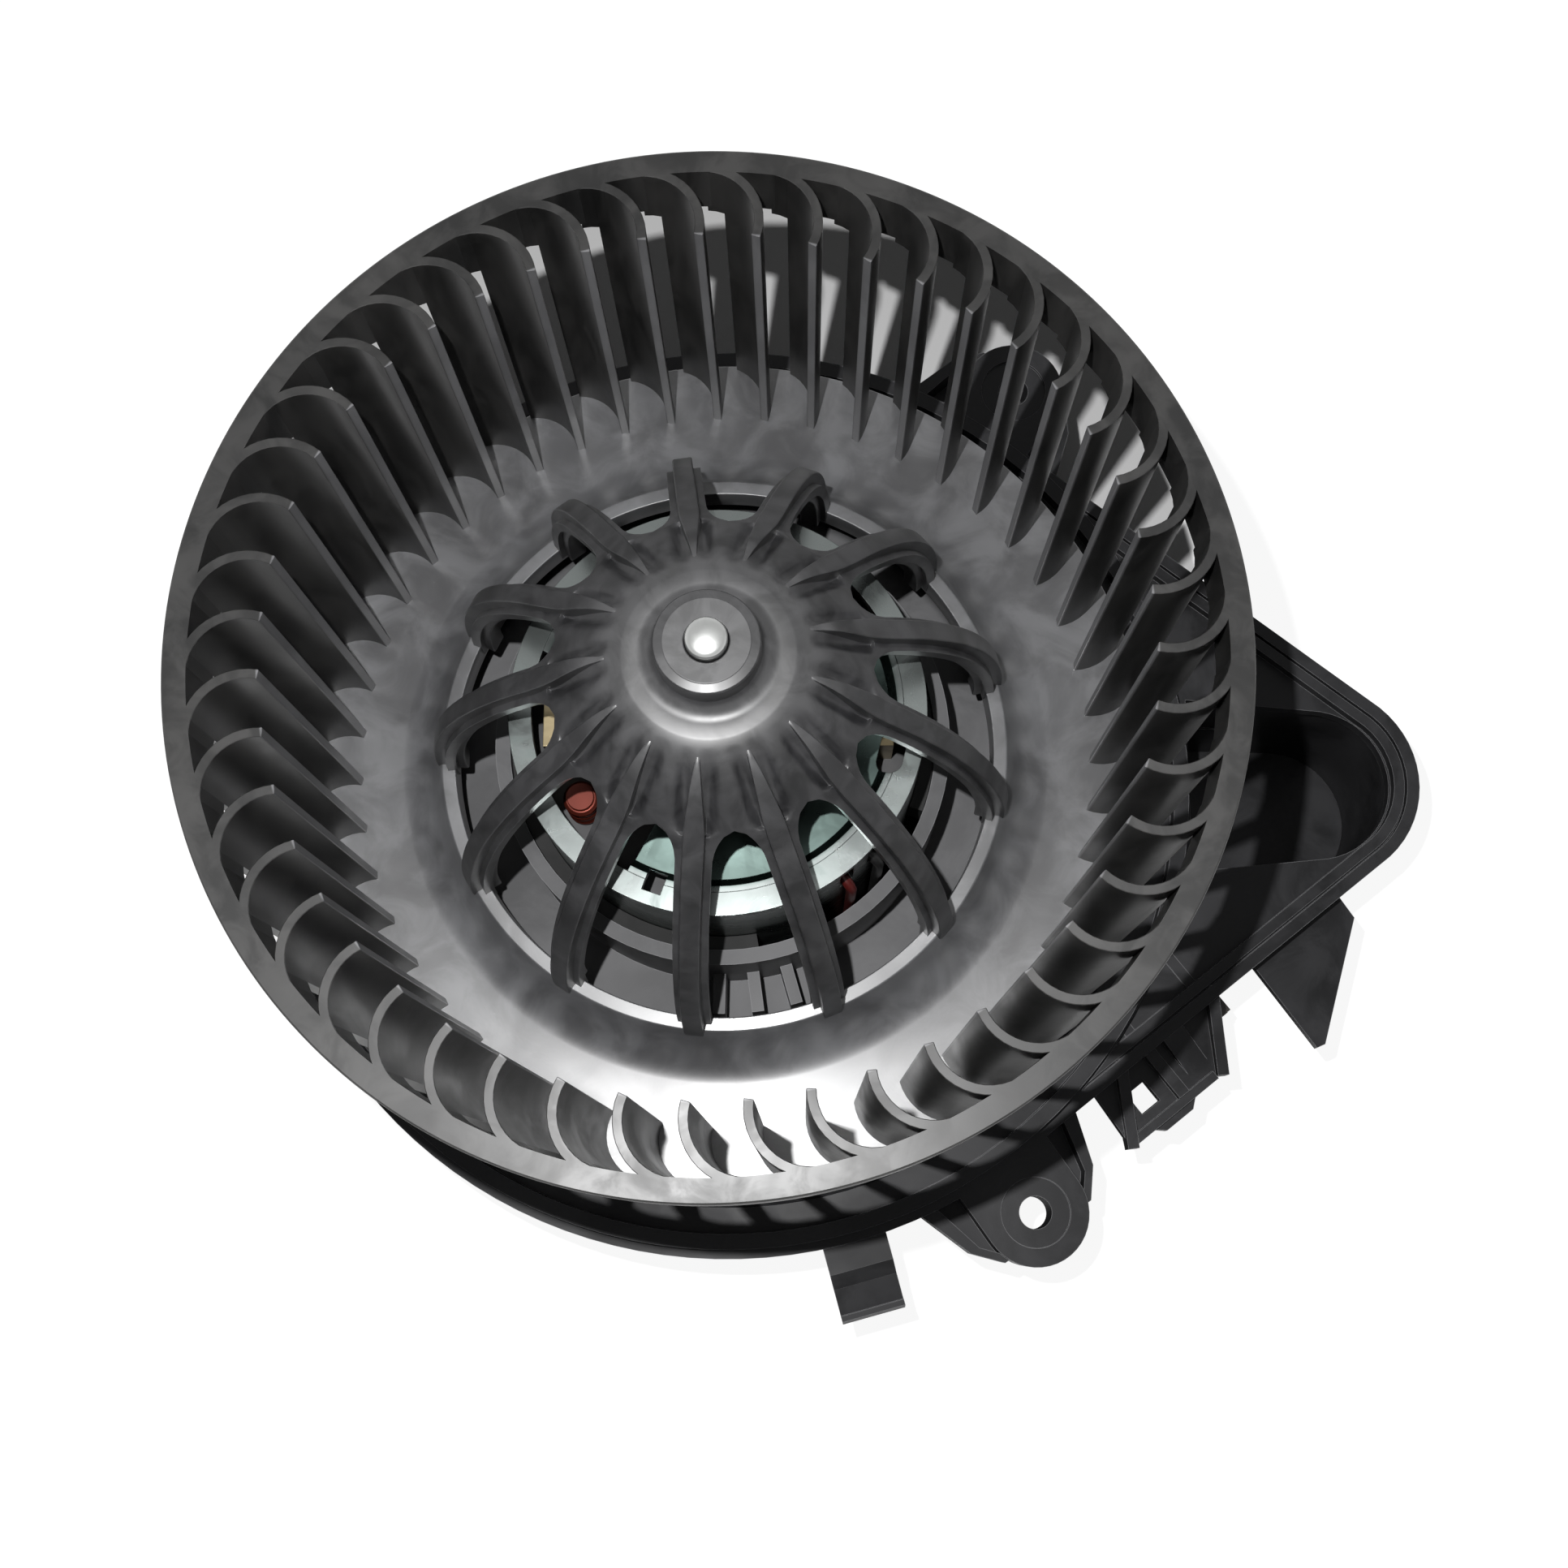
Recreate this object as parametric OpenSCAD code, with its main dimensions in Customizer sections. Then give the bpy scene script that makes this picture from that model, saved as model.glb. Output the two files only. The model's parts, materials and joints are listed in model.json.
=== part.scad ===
// Car cabin blower motor: a forward-curved fan wheel on a brushed motor, in a moulded carrier
// with a cooling duct arm, three screw ears, a connector and a bottom cover.
// Frame: origin on the fan axis in the top plane of the screw ears, +Z to the air inlet,
// +X along the duct arm. Millimetres.

/* [Fan wheel] */
// Radius over the rim band
wheel_r = 75.5; // [73:0.5:78]
// Radial thickness of the rim band
rim_wall = 3.5; // [2.5:0.1:4.5]
// Height of the rim band
rim_h = 10; // [6:0.5:14]
// Height from the hub plate's top to the rim's top
wheel_h = 67; // [60:0.5:75]
// Height of the hub plate's top above the ear plane
wheel_lift = 19; // [17.5:0.5:26]
// Thickness of the hub plate
plate_t = 2.2; // [1.4:0.1:3]
// Number of blades
blade_count = 47; // [31:1:53]
// Radial depth of a blade
blade_depth = 10.5; // [8:0.1:12]
// Thickness of a blade
blade_t = 1.4; // [0.8:0.1:1.6]
// Radius of a blade's curve
blade_curve_r = 11.4; // [10:0.1:16]

/* [Dome of the wheel] */
// Radius of the dome at its foot
dome_r = 47.5; // [44:0.5:49]
// Height of the dome above its foot
dome_h = 54; // [48:0.5:58]
// Number of ribs, with a window between each two
rib_count = 13; // [9:1:17]
// Width of a rib's top face
rib_w = 2.7; // [2:0.1:3.5]
// Depth of a rib
rib_depth = 5; // [3.5:0.1:6]
// Width of the skin strip that carries a rib
strip_w = 4.8; // [4:0.1:6]
// Thickness of the dome's skin
skin_t = 2; // [1.5:0.1:3]
// Step from a rib's top face down to the skin
rib_step = 1.8; // [1:0.1:2.2]
// Radius of the boss round the shaft
boss_r = 7.4; // [6:0.1:9]
// Height of the boss above the rim's top
boss_rise = 2.5; // [0:0.1:5]

/* [Motor] */
// Radius of the motor shaft
shaft_r = 3; // [2.5:0.1:4]
// Radius of the motor can
can_r = 32.4; // [30.5:0.1:34]
// Wall of the motor can
can_wall = 1.5; // [1:0.1:2]
// Length of the motor can
can_len = 75; // [72:0.5:84]
// Drop from the rim's top to the can's top
motor_drop = 35; // [33:0.5:40]
// Thickness of a field magnet
magnet_t = 5; // [4:0.1:6]
// Length of the field magnets
magnet_len = 40; // [30:1:44]
// Air gap between armature and magnets
air_gap = 1; // [0.6:0.1:1.5]
// Length of the armature core
core_len = 34; // [26:1:36]
// Number of armature slots
slot_count = 12; // [8:1:14]
// Radius of the commutator
commutator_r = 9.4; // [8.5:0.1:10.5]
// Width of a carbon brush
brush_w = 8.6; // [6:0.1:10]
// Height of a carbon brush
brush_h = 7.2; // [5:0.1:7.6]
// Length of a carbon brush
brush_len = 10.4; // [8:0.1:11]

/* [Carrier] */
// Radius of the locating collar
collar_r = 82; // [80:0.5:88]
// Height of the locating collar
collar_h = 3.4; // [2:0.1:5]
// Step from the collar out to the flange's edge
flange_step = 1.6; // [1:0.1:4]
// Thickness of the deck, flange and collar
deck_t = 2.6; // [2:0.1:3.5]
// Height of the deck round the motor
deck_rise = 12; // [9:0.5:13]
// Thickness of the skirt and of the duct's wall
wall_t = 2.2; // [1.6:0.1:3]
// Depth of the skirt below the ear plane
skirt_h = 9; // [7:0.5:11]
// Gap between the motor can and the cup, filled by the rubber rings
cup_gap = 2.5; // [2.3:0.1:3.5]
// Wall of the cup
cup_wall = 2.4; // [1.8:0.1:3]
// Air space below the motor can
under_can = 14; // [11:0.5:18]

/* [Duct arm] */
// Distance from the fan axis to the centre of the arm's round end
arm_x = 105.8; // [100:0.2:112]
// Radius of the arm's round end
arm_r = 18.3; // [17.8:0.1:22]
// Radius of the duct opening's round end
mouth_r = 13.8; // [11:0.1:14.5]
// Half width of the duct opening at the wheel
mouth_half = 16.5; // [14:0.1:17]

/* [Fixings] */
// Radius from the fan axis to the ear holes
ear_pitch_r = 92.5; // [88:0.1:96]
// Half width of an ear, and radius of its round end
ear_r = 9.2; // [8:0.1:11]
// Radius of an ear hole
ear_hole_r = 2.8; // [2:0.1:3.5]
// Angle of the two ears beside the duct arm
ear_angle = 55; // [50:1:60]
// Angle of the third ear, which the wheel hides from above
far_ear_angle = 172; // [165:1:180]
// Radius of a cover screw's shank
screw_r = 1.45; // [1.2:0.05:2]
// Thickness of the bottom cover
cover_t = 2.5; // [2:0.1:4]

/* [Hidden] */
$fn = 96;

// Clearances
fit_gap = 0.02;
slip_gap = 0.1;
lid_gap = 0.2;
thread_gap = 0.2;
plug_to_duct = 3.8;
bite = 0.4;

// Heights that follow from the driving sizes
rim_top = wheel_lift + wheel_h;
rim_in_r = wheel_r - rim_wall;
blade_tip_r = rim_in_r - blade_depth;
dome_foot = wheel_lift + 7;
boss_top = rim_top + boss_rise;
shaft_top = boss_top + 2.2;
can_top = rim_top - motor_drop;
can_bottom = can_top - can_len;
can_in_r = can_r - can_wall;
cup_in_r = can_r + cup_gap;
cup_out_r = cup_in_r + cup_wall;
cup_top = can_top - 18;
base_z = can_bottom - under_can;
flange_r = collar_r + flange_step;

// Points on the dome: an ellipse from its foot to the crown
function dome_z(r, drop = 0) = dome_foot + dome_h * sqrt(1 - pow(r / dome_r, 2)) - drop;
rib_start_r = 13.5;
elbow_r = 44.5 / 47.5 * dome_r;
window_r = 27.6;
window_end_r = 3.5;
crown = dome_z(0);

// The wheel's central opening, inside the collar that the ribs stand on
eye_r = dome_r - 2.7;
eye_z = dome_foot + 0.6;

module blade() {
    translate([blade_tip_r, blade_curve_r, wheel_lift - plate_t / 2])
        rotate(-90)
        rotate_extrude(angle = blade_sweep())
        translate([blade_curve_r - blade_t / 2, 0])
        square([blade_t, rim_top - wheel_lift + plate_t / 2 - 0.25]);
}

// Angle through which a blade's curve turns before it meets the rim band
function blade_sweep() =
    let (c = (pow(rim_in_r + bite, 2) - pow(blade_tip_r, 2) - 2 * pow(blade_curve_r, 2))
        / (2 * blade_curve_r), a = blade_tip_r, b = blade_curve_r)
    atan2(a, -b) - acos(min(1, c / sqrt(a * a + b * b)));

module rim_band() {
    edge = 1.2;
    rotate_extrude()
        polygon([
            [rim_in_r, rim_top - rim_h], [wheel_r - 0.5, rim_top - rim_h],
            [wheel_r, rim_top - rim_h + 0.8], [wheel_r, rim_top - edge],
            [wheel_r - 0.4, rim_top - 0.4], [wheel_r - edge, rim_top], [rim_in_r, rim_top]
        ]);
}

module hub_plate() {
    foot = dome_r + 4.8;
    rotate_extrude()
        polygon([
            [rim_in_r + 0.2, wheel_lift], [foot + 7, wheel_lift],
            [foot + 2.5, wheel_lift + 0.5], [foot, wheel_lift + 1.8],
            [dome_r + 2, wheel_lift + 3.8], [dome_r + 0.4, wheel_lift + 6.4],
            [dome_r - 0.4, eye_z], [eye_r, eye_z], [eye_r, eye_z - 4],
            [eye_r + 1.6, eye_z - 6.4], [foot - 1, wheel_lift - plate_t + 0.4],
            [foot + 4, wheel_lift - plate_t], [rim_in_r + 0.2, wheel_lift - plate_t]
        ]);
}

// Side view of a rib or of the strip that carries it: over the dome, then down its leg
module rib_side(drop, depth, from_r) {
    steps = 12;
    foot_r = dome_r + 0.6 - drop;
    outer = [for (i = [0 : steps])
        let (r = from_r + (elbow_r - from_r) * sin(90 * i / steps)) [r, dome_z(r, drop)]];
    inner = [for (i = [steps : -1 : 0])
        let (r = from_r + (elbow_r - depth - from_r) * sin(90 * i / steps))
        [r, dome_z(r * elbow_r / (elbow_r - depth * i / steps), drop) - depth]];
    polygon(concat(outer, [[foot_r, dome_foot - 3], [foot_r - depth, dome_foot - 3]], inner));
}

module dome_cap() {
    steps = 10;
    end_r = window_r;
    top = [for (i = [0 : steps]) let (r = 18 + (end_r - 18) * i / steps) [r, dome_z(r, rib_step)]];
    under = [for (i = [steps : -1 : 0]) let (r = 18 + (end_r - 18) * i / steps)
        [r, dome_z(r, rib_step) - skin_t]];
    difference() {
        rotate_extrude()
            polygon(concat(
                [[boss_r - bite, crown - 0.4], [boss_r + 1.4, crown + 0.4], [10.4, crown + 3],
                    [11.6, crown + 3], [13.2, crown + 0.4], [15.2, crown - 2.6]],
                top, under,
                [[boss_r - bite, crown - 6.6]]));
        for (i = [0 : rib_count - 1])
            rotate(rib_phase + (i + 0.5) * 360 / rib_count)
            translate([window_r, 0, dome_foot])
            cylinder(r = window_end_r, h = dome_h + 10);
    }
}

// The nearest rib to +Y stands a little past it
rib_phase = 98.3;
blade_phase = 91.9;

module fan_wheel() {
    color([0.10, 0.10, 0.11]) {
        difference() {
            union() {
                rim_band();
                hub_plate();
                for (i = [0 : blade_count - 1])
                    rotate(blade_phase + i * 360 / blade_count) blade();
                dome_cap();
                for (i = [0 : rib_count - 1])
                    rotate(rib_phase + i * 360 / rib_count)
                    rotate([90, 0, 0]) {
                        linear_extrude(rib_w, center = true) rib_side(0, rib_depth, rib_start_r);
                        linear_extrude(strip_w, center = true)
                            rib_side(rib_step + 0.15, skin_t - 0.3, window_r - window_end_r - 2);
                    }
                translate([0, 0, hub_tube_z]) cylinder(r = boss_r, h = boss_top - hub_tube_z);
            }
            translate([0, 0, hub_tube_z - 1])
                cylinder(r = shaft_r + fit_gap, h = boss_top - hub_tube_z + 2);
        }
    }
}

// Motor heights, counted from the can's top and bottom
plate_z = can_top - 13;
brush_plate_t = 2.2;
bell_t = 1.5;
bearing_r = 6.5;
bell_cup_top = can_top + 7.4;
hub_tube_z = bell_cup_top + 1.6;
lower_seat = can_bottom - 4.5;
shaft_foot = lower_seat + 1.8;
core_z = can_bottom + 18;
core_r = can_in_r - slip_gap - magnet_t - air_gap;
turns_top = core_z + core_len + 7.8;
commutator_z = can_top - 14.6;
commutator_top = can_top - 1;

module motor_shaft() {
    color([0.78, 0.79, 0.80])
        intersection() {
            translate([0, 0, shaft_foot]) cylinder(r = shaft_r, h = shaft_top - shaft_foot);
            translate([0, 0, shaft_foot]) rotate_extrude() polygon([
                [0, 0], [shaft_r - 0.5, 0], [shaft_r + 1, 1.5],
                [shaft_r + 1, shaft_top - shaft_foot - 2.2],
                [shaft_r - 0.9, shaft_top - shaft_foot - 0.5], [0, shaft_top - shaft_foot]
            ]);
        }
}

module armature_core() {
    slot_r = core_r * 0.77;
    color([0.55, 0.56, 0.58])
        translate([0, 0, core_z])
        difference() {
            cylinder(r = core_r, h = core_len);
            translate([0, 0, -1]) {
                cylinder(r = shaft_r + fit_gap, h = core_len + 2);
                for (i = [0 : slot_count - 1])
                    rotate(i * 360 / slot_count) translate([slot_r, 0, 0]) {
                        cylinder(r = 3, h = core_len + 2);
                        translate([0, -0.9, 0]) cube([core_r, 1.8, core_len + 2]);
                    }
            }
        }
}

module armature_windings() {
    slot_r = core_r * 0.77;
    low = core_z - 7.7;
    color([0.72, 0.36, 0.18]) {
        for (z = [low, core_z + core_len + slip_gap])
            translate([0, 0, z]) rotate_extrude() polygon([
                [8, 1.2], [9.2, 0], [slot_r + 1.4, 0], [slot_r + 2.9, 1.4],
                [slot_r + 2.9, 6.2], [slot_r + 1.2, 7.6], [9.2, 7.6], [8, 6.4]
            ]);
        for (i = [0 : slot_count - 1])
            rotate(i * 360 / slot_count) translate([slot_r, 0, low + 4])
            cylinder(r = 2.8, h = core_len + 7.6);
    }
}

module commutator() {
    bars = 12;
    color([0.70, 0.42, 0.24])
        difference() {
            union() {
                translate([0, 0, commutator_z])
                    cylinder(r = commutator_r, h = commutator_top - commutator_z);
                translate([0, 0, commutator_z]) cylinder(r = commutator_r + 1.2, h = 1.4);
            }
            translate([0, 0, commutator_z - 1]) {
                cylinder(r = shaft_r + fit_gap, h = 20);
                for (i = [0 : bars - 1])
                    rotate(i * 360 / bars) translate([commutator_r - 0.5, -0.3, 3])
                    cube([3, 0.6, 20]);
            }
        }
}

module thrust_washers() {
    color([0.86, 0.84, 0.76])
        for (z = [commutator_top + slip_gap, lower_seat + 8.2])
            translate([0, 0, z]) difference() {
                cylinder(r = shaft_r + 2.4, h = 0.6);
                translate([0, 0, -1]) cylinder(r = shaft_r + fit_gap, h = 3);
            }
}

// The leads come in over the can's rim at these angles
lead_plus_az = -52;
lead_minus_az = -42;
lead_z = can_top - 7.5;
lead_r = 0.9;
lead_track_r = can_r + cup_gap / 2;
lead_exit_z = -6;

module motor_can() {
    color([0.66, 0.68, 0.68])
        difference() {
            union() {
                translate([0, 0, can_bottom]) cylinder(r = can_r, h = can_len);
                translate([0, 0, lower_seat]) cylinder(r = bearing_r + 2, h = 6);
            }
            translate([0, 0, can_bottom + can_wall]) cylinder(r = can_in_r, h = can_len);
            translate([0, 0, lower_seat + 1.4])
                cylinder(r = bearing_r + slip_gap, h = can_len);
            for (az = [lead_plus_az, lead_minus_az])
                rotate(az) translate([can_in_r - 2, -lead_r - 0.4, lead_z - lead_r - 0.5])
                cube([6, 2 * lead_r + 0.8, 12]);
            for (az = [45 : 90 : 315])
                rotate(az) translate([20, 0, can_bottom - 1]) cylinder(r = 4, h = 4);
        }
}

module end_bell() {
    arm_w = 11;
    dish_from = -118;
    dish_to = 28;
    color([0.74, 0.76, 0.75])
        difference() {
            union() {
                translate([0, 0, can_top]) difference() {
                    cylinder(r = can_r, h = bell_t);
                    translate([0, 0, -1]) cylinder(r = can_r - 3.6, h = bell_t + 2);
                }
                rotate(dish_from) rotate_extrude(angle = dish_to - dish_from) bell_dish();
                for (az = [65, 150])
                    rotate(az) translate([6, -arm_w / 2, can_top + 0.1])
                    cube([can_r - 8.4, arm_w, bell_t - 0.2]);
                translate([0, 0, can_top - 0.2])
                    cylinder(r = bearing_r + 1.9, h = bell_cup_top - can_top + 0.2);
            }
            translate([0, 0, can_top - 1])
                cylinder(r = bearing_r + slip_gap, h = bell_cup_top - can_top - 0.2);
            translate([0, 0, can_top]) cylinder(r = shaft_r + 0.8, h = 12);
            rotate(-14) translate([can_in_r - 5.2, -1.6, can_top - 4]) {
                cube([4, 3.2, 8]);
                translate([2, 0, 0]) cylinder(r = 2, h = 8);
                translate([2, 3.2, 0]) cylinder(r = 2, h = 8);
            }
            rotate(-109) translate([can_r - 5.4, -1.5, can_top - 4]) cube([3.4, 3, 8]);
        }
}

// Side view of the pressed dish between the bearing's cup and the rim
module bell_dish() {
    polygon([
        [bearing_r + 1, can_top + 0.1], [14, can_top + 0.1], [17.6, can_top - 1.6],
        [can_r - 5.6, can_top - 1.6], [can_r - 4.6, can_top - 0.9], [can_r - 3.2, can_top + 0.2],
        [can_r - 3.2, can_top + bell_t - 0.3], [can_r - 4.6, can_top + bell_t - 0.3],
        [can_r - 5.8, can_top - 0.4], [18, can_top - 0.4], [14.4, can_top + bell_t - 0.2],
        [bearing_r + 1, can_top + bell_t - 0.2]
    ]);
}

module bearing_bush(z, h) {
    color([0.72, 0.56, 0.34])
        translate([0, 0, z]) difference() {
            cylinder(r = bearing_r, h = h);
            translate([0, 0, -1]) cylinder(r = shaft_r + 0.05, h = h + 2);
        }
}

module upper_bearing() { bearing_bush(commutator_top + 1, 6); }
module lower_bearing() { bearing_bush(lower_seat + 1.5, 6.6); }

magnet_z = core_z + core_len / 2 - magnet_len / 2;
magnet_span = 138;

module magnet(mid) {
    color([0.30, 0.30, 0.31])
        rotate(mid - magnet_span / 2)
        translate([0, 0, magnet_z])
        rotate_extrude(angle = magnet_span)
        translate([can_in_r - slip_gap - magnet_t, 0])
        square([magnet_t, magnet_len]);
}

module magnet_left() { magnet(180); }
module magnet_right() { magnet(0); }

module magnet_clips() {
    span = 180 - magnet_span - 2;
    color([0.70, 0.71, 0.72])
        for (mid = [90, 270])
            rotate(mid - span / 2)
            translate([0, 0, magnet_z + 4]) {
                rotate_extrude(angle = span)
                    translate([can_in_r - slip_gap - 0.7, 0]) square([0.7, magnet_len - 8]);
                for (turn = [0.2, span - 1.8])
                    rotate(turn) translate([0, 0, 1]) rotate_extrude(angle = 1.6)
                    translate([can_in_r - slip_gap - 4, 0]) square([3.7, magnet_len - 10]);
            }
}

module brush_plate() {
    top = plate_z + brush_plate_t;
    color([0.16, 0.16, 0.17]) {
        translate([0, 0, plate_z]) difference() {
            cylinder(r = can_in_r - 0.3, h = brush_plate_t);
            translate([0, 0, -1]) cylinder(r = commutator_r + 2, h = brush_plate_t + 2);
            for (az = [90, 270])
                rotate(az) translate([19, 0, -1]) cylinder(r = 4.5, h = brush_plate_t + 2);
        }
        for (az = [62, 118, 232])
            rotate(az) translate([can_in_r - 2.2, 0, top - bite])
            cylinder(r = 1.7, h = can_top - top + bite);
        for (az = [lead_plus_az, lead_minus_az])
            rotate(az) translate([can_in_r - 6.4, -1.3, top - bite]) cube([2.6, 2.6, 5.2]);
    }
}

// Brush gear: the right-hand set lies along +X and the left one is turned half round
brush_z = plate_z + brush_plate_t + 0.9;
brush_in = commutator_r + 0.15;
brush_out = brush_in + brush_len;
holder_out = can_in_r - 3.6;

module brush_holder() {
    wall = 0.8;
    w = brush_w + 2 * slip_gap;
    h = brush_h + 2 * slip_gap;
    color([0.80, 0.66, 0.36])
        difference() {
            translate([brush_in + 2.4, -w / 2 - wall, brush_z - slip_gap - wall])
                cube([holder_out - brush_in - 2.4, w + 2 * wall, h + 2 * wall]);
            translate([brush_in, -w / 2, brush_z - slip_gap])
                cube([holder_out - wall - brush_in, w, h]);
        }
}

module brush() {
    color([0.20, 0.20, 0.21])
        difference() {
            translate([brush_in, -brush_w / 2, brush_z]) cube([brush_len, brush_w, brush_h]);
            cylinder(r = commutator_r + 0.15, h = 100);
        }
}

module brush_spring() {
    turns = 4;
    wire = 0.35;
    coil_r = brush_h / 2 - 0.8;
    start = brush_out + wire + 0.1;
    run = holder_out - 0.8 - brush_out - 2 * wire - 0.2;
    path = [for (i = [0 : turns * 12])
        [start + run * i / (turns * 12), coil_r * cos(i * 30),
            brush_z + brush_h / 2 + coil_r * sin(i * 30)]];
    color([0.75, 0.76, 0.78]) tube(path, wire, [1, 0, 0]);
}

module brush_holder_left() { rotate(180) brush_holder(); }
module brush_holder_right() { brush_holder(); }
module brush_left() { rotate(180) brush(); }
module brush_right() { brush(); }
module brush_spring_left() { rotate(180) brush_spring(); }
module brush_spring_right() { brush_spring(); }

module choke(az) {
    wire = 0.55;
    h = 9;
    top = plate_z + brush_plate_t;
    color([0.72, 0.36, 0.18])
        rotate(az) translate([can_in_r - 5.8, 0, top]) {
            cylinder(r = 2, h = h);
            for (i = [0 : 5])
                translate([0, 0, 1.2 + i * 2.4 * wire])
                rotate_extrude() translate([2.2, 0]) circle(r = wire, $fn = 24);
        }
}

module choke_left() { choke(-148); }
module choke_right() { choke(39); }

// A tube swept along points, as rings of eight corners
function unit(v) = v / norm(v);
function tangent(p, i) = unit(p[min(i + 1, len(p) - 1)] - p[max(i - 1, 0)]);

module tube(path, r, side) {
    sides = 8;
    n = len(path);
    points = [for (i = [0 : n - 1])
        let (t = tangent(path, i), a = unit(cross(t, side)), b = cross(t, a))
        for (k = [0 : sides - 1])
            path[i] + r * (cos(k * 360 / sides) * a + sin(k * 360 / sides) * b)];
    walls = [for (i = [0 : n - 2]) for (k = [0 : sides - 1])
        [i * sides + k, i * sides + (k + 1) % sides,
            (i + 1) * sides + (k + 1) % sides, (i + 1) * sides + k]];
    first = [for (k = [sides - 1 : -1 : 0]) k];
    last = [for (k = [0 : sides - 1]) (n - 1) * sides + k];
    polyhedron(points, concat(walls, [first, last]));
}

// Flange outline: the round flange and the arm's round end, joined by their tangents
module teardrop(inset = 0) {
    a = acos((flange_r - arm_r) / arm_x);
    crossing = 0.03;
    r1 = flange_r - inset;
    r2 = arm_r - inset;
    up = [cos(a), sin(a)];
    down = [cos(a), -sin(a)];
    circle(r = r1);
    translate([arm_x, 0]) circle(r = r2);
    polygon([
        (r1 - crossing) * up, (r1 - crossing) * down,
        [arm_x, 0] + (r2 - crossing) * down, [arm_x, 0] + (r2 - crossing) * up
    ]);
}

// The arm's lower edge runs at this angle: local X along the edge, -Y outwards
edge_angle = 90 - acos((flange_r - arm_r) / arm_x);

// Cup and duct outline, grown or shrunk by out
module keyhole(out = 0) {
    circle(r = cup_out_r + out);
    translate([arm_x, 0]) circle(r = duct_tip_r + out);
    polygon([
        [0, duct_half + out], [0, -duct_half - out],
        [arm_x, -duct_tip_r - out], [arm_x, duct_tip_r + out]
    ]);
}
duct_tip_r = arm_r - 1.7;
duct_half = mouth_half + wall_t + 0.8;

module mouth(out = 0) {
    translate([arm_x - 0.4, 0]) circle(r = mouth_r + out);
    polygon([
        [collar_r + 1.2 - out, mouth_half - 0.6 + out], [collar_r + 1.2 - out, -mouth_half + 0.6 - out],
        [arm_x, -mouth_r - out], [arm_x, mouth_r + out]
    ]);
}

module deck() {
    rotate_extrude()
        polygon([
            [cup_in_r, base_z], [cup_out_r, base_z], [cup_out_r, deck_rise - deck_t],
            [dome_r + 10, deck_rise - deck_t], [rim_in_r + 2, -deck_t], [flange_r - 1, -deck_t],
            [flange_r - 1, 0], [collar_r, 0], [collar_r, collar_h],
            [collar_r - deck_t, collar_h], [collar_r - deck_t, 0],
            [rim_in_r + 3, 0], [dome_r + 11, deck_rise], [cup_out_r, deck_rise],
            [cup_out_r, cup_top], [cup_in_r, cup_top]
        ]);
}

module deck_webs() {
    for (az = [-91, -82.5, -74])
        rotate(az) translate([cup_out_r - bite, -1, deck_rise - bite])
        cube([7, 2, 10]);
}

// The arm's floor lies a step down, inside two low lips that follow the outline
module arm_top() {
    lip = wall_t;
    groove = 0.4;
    inner_lip = 1.9;
    sunk = 2.4;
    difference() {
        union() {
            translate([0, 0, -skirt_h]) linear_extrude(skirt_h) ring_of_teardrop(0, lip);
            translate([0, 0, -sunk - deck_t]) linear_extrude(deck_t) past_flange() teardrop(1);
            translate([0, 0, -sunk - 0.5]) linear_extrude(1.5)
                past_flange() ring_of_teardrop(lip - bite, lip + groove + bite);
            translate([0, 0, -sunk - 0.5]) linear_extrude(sunk + 0.3)
                past_flange() ring_of_teardrop(lip + groove, lip + groove + inner_lip);
        }
        translate([0, 0, -sunk - deck_t - 1]) linear_extrude(sunk + deck_t + 4) mouth();
    }
}

module past_flange() {
    difference() {
        children();
        circle(r = flange_r - 1.5);
    }
}

module ring_of_teardrop(from, to) {
    difference() {
        teardrop(from);
        teardrop(to);
    }
}

module duct_walls() {
    difference() {
        translate([0, 0, base_z]) linear_extrude(-deck_t - base_z) keyhole();
        translate([0, 0, base_z - 1]) linear_extrude(-deck_t - base_z - wall_t + 1) keyhole(-wall_t);
        translate([0, 0, base_z - 1]) cylinder(r = cup_out_r - 0.1, h = 100);
        translate([0, 0, -20]) linear_extrude(40) mouth();
    }
}

module ear(az) {
    flare = 7.8;
    base_r = collar_r - 2;
    shoulder = ear_pitch_r - 0.7;
    low = 0.3 - skirt_h;
    rotate(az) difference() {
        union() {
            translate([0, 0, low]) linear_extrude(2.2) ear_flare(base_r, shoulder, flare, 0);
            translate([0, 0, low]) linear_extrude(-low - 1.5) difference() {
                ear_flare(base_r, shoulder, flare, 0);
                ear_flare(base_r - 5, shoulder, flare, 1.8);
            }
            translate([0, 0, low]) linear_extrude(-low) {
                translate([ear_pitch_r, 0]) circle(r = ear_r);
                translate([base_r, -ear_r]) square([ear_pitch_r - base_r, 2 * ear_r]);
            }
        }
        translate([ear_pitch_r, 0, -skirt_h - 1]) cylinder(r = ear_hole_r, h = skirt_h + 2);
        translate([ear_pitch_r, 0, -0.6]) cylinder(r = ear_hole_r + 3.2, h = 1);
        translate([0, 0, -skirt_h - 1]) linear_extrude(skirt_h - 2) difference() {
            union() {
                translate([ear_pitch_r, 0]) circle(r = ear_r - 2);
                translate([flange_r + 0.6, 2 - ear_r])
                    square([ear_pitch_r - flange_r - 0.6, 2 * ear_r - 4]);
            }
            translate([ear_pitch_r, 0]) circle(r = ear_hole_r + 2.4);
        }
        translate([0, 0, -skirt_h - 2]) cylinder(r = flange_r - 0.7, h = skirt_h + 4);
    }
}

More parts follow.
